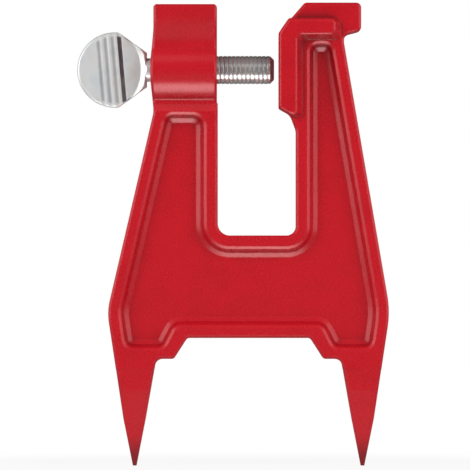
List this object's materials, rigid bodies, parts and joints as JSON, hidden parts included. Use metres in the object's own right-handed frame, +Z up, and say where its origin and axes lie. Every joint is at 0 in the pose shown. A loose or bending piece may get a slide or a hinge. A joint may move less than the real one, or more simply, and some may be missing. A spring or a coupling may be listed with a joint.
{
  "type": "chainsaw stump vise",
  "caption": "Cast vise with spikes to drive into a stump, a ribbed frame, a fixed jaw and a thumb screw that clamps a chainsaw's guide bar on edge.",
  "frame": {"origin": "on the stump's top, where the shoulders rest, midway between the spikes and at half the depth", "axes": "+X along the screw towards the fixed jaw, +Y from the front to the back, +Z up out of the stump"},
  "size_m": [0.109, 0.0248, 0.1618],
  "materials": {
    "red_coat": "gloss",
    "zinc_steel": "satin"
  },
  "bodies": {
    "casting": {"vise_frame": "red_coat"},
    "stud": {"screw_stud": "zinc_steel"},
    "tab": {"thumb_tab": "zinc_steel"}
  },
  "joints": [
    {"name": "screw_travel", "type": "slide", "parent": "casting", "child": "stud", "axis": [1, 0, 0], "range_m": [-0.0195, 0.001]},
    {"name": "screw_turn", "type": "hinge", "parent": "stud", "child": "tab", "pos_m": [-0.0468, 0, 0.101], "axis": [1, 0, 0], "range_deg": [-4680, 240]}
  ],
  "couplings": [
    {"joint": "screw_turn", "follows": "screw_travel", "rad_per_m": 4188.8}
  ]
}
